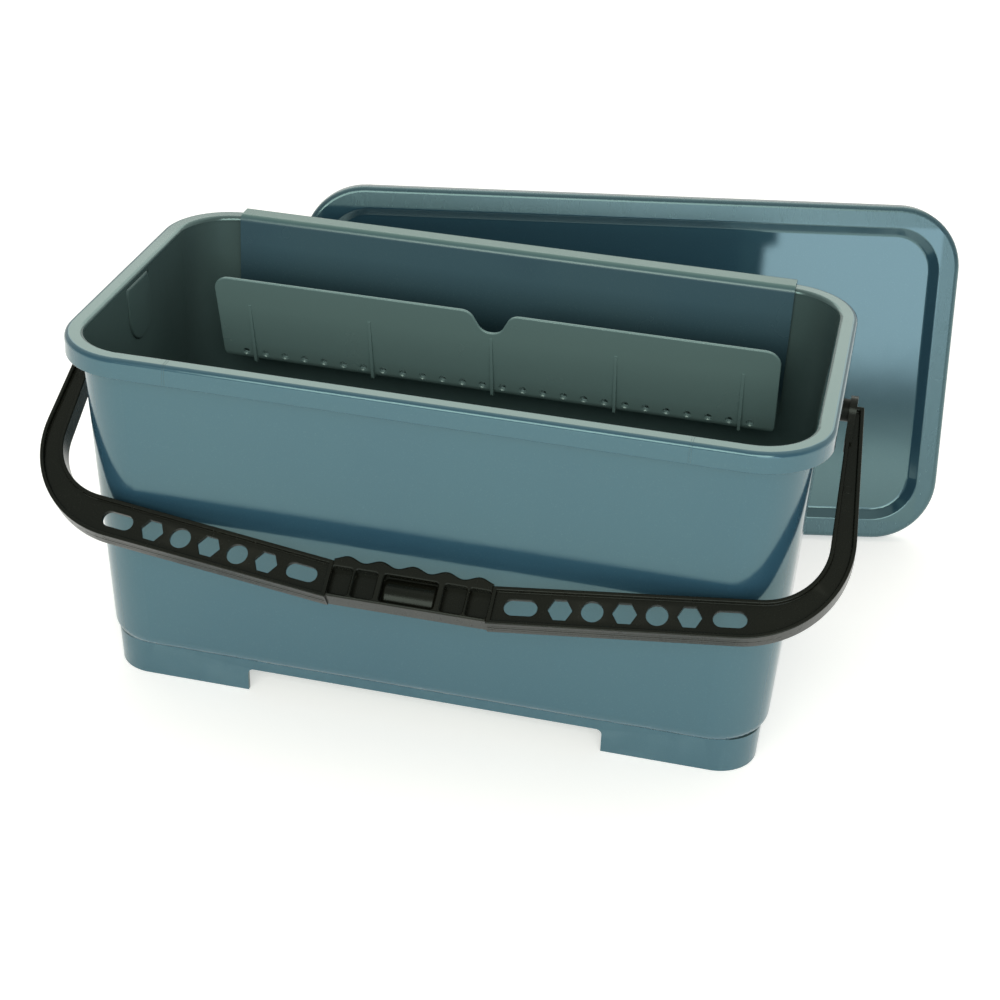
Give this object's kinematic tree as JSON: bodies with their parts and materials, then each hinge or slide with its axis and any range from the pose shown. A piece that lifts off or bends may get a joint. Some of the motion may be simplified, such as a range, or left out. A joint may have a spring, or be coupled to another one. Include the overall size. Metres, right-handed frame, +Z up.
{
  "type": "rectangular cleaning bucket",
  "caption": "Rectangular cleaning bucket with a swinging bail handle, a drain sieve hooked over its back rim and a loose recessed lid standing behind it.",
  "frame": {"origin": "the middle of the bucket's foot, on the plane that the foot stands on", "axes": "+X along the bucket's long side, +Y from the handle's rest side (front) to the sieve and the standing lid (back), +Z up"},
  "size_m": [0.5743, 0.4459, 0.2506],
  "materials": {
    "bucket_plastic": "satin blue-grey polypropylene",
    "black_plastic": "satin black polypropylene",
    "sieve_plastic": "satin grey-green polypropylene",
    "lid_plastic": "glossy blue-grey polypropylene"
  },
  "bodies": {
    "bucket": {"bucket_shell": "bucket_plastic"},
    "handle": {"handle_arm_left": "black_plastic", "handle_arm_right": "black_plastic", "hand_grip": "black_plastic", "pivot_pin_left": "black_plastic", "pivot_pin_right": "black_plastic"},
    "sieve": {"sieve_insert": "sieve_plastic"},
    "lid": {"lid": "lid_plastic"}
  },
  "joints": [
    {"name": "handle_swing", "type": "hinge", "parent": "bucket", "child": "handle", "pos_m": [0, 0, 0.2178], "axis": [-1, 0, 0], "range_deg": [0, 205]},
    {"name": "sieve_lift", "type": "slide", "parent": "bucket", "child": "sieve", "axis": [0, 0, 1], "range_m": [0, 0.2]},
    {"name": "lid_lift", "type": "slide", "parent": "bucket", "child": "lid", "axis": [-0.0529, 0.2221, 0.9736], "range_m": [0, 0.32]}
  ]
}
